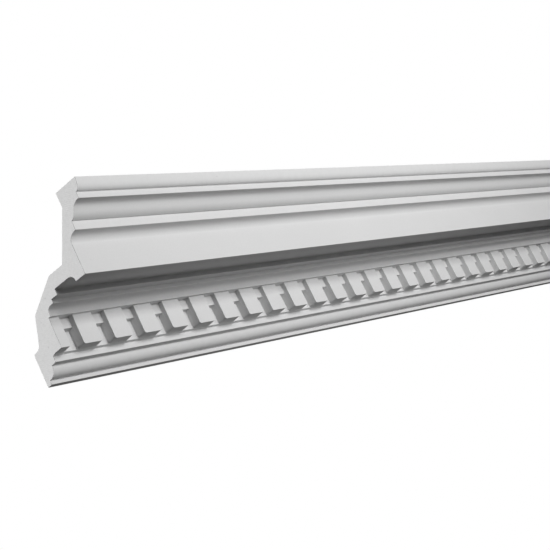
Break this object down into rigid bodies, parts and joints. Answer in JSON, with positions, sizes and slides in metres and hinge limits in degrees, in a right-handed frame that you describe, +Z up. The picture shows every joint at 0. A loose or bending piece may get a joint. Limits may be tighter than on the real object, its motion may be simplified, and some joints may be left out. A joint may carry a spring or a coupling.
{
  "type": "cornice moulding length",
  "caption": "Straight length of cast cornice moulding with a crown ovolo, an ogee, a coved corona, a drip groove and a course of bridged dentils over a small bed mould.",
  "frame": {"origin": "centre of the flat seat that meets the wall, halfway along the length", "axes": "+X along the length, +Y out of the wall seat into the wall, +Z up to the ceiling; the room is at -Y"},
  "size_m": [1.04, 0.1335, 0.1393],
  "materials": {
    "primed_foam": "factory primer, matte off-white, on rigid foam"
  },
  "bodies": {
    "root": {"cornice_moulding": "primed_foam"}
  },
  "joints": []
}
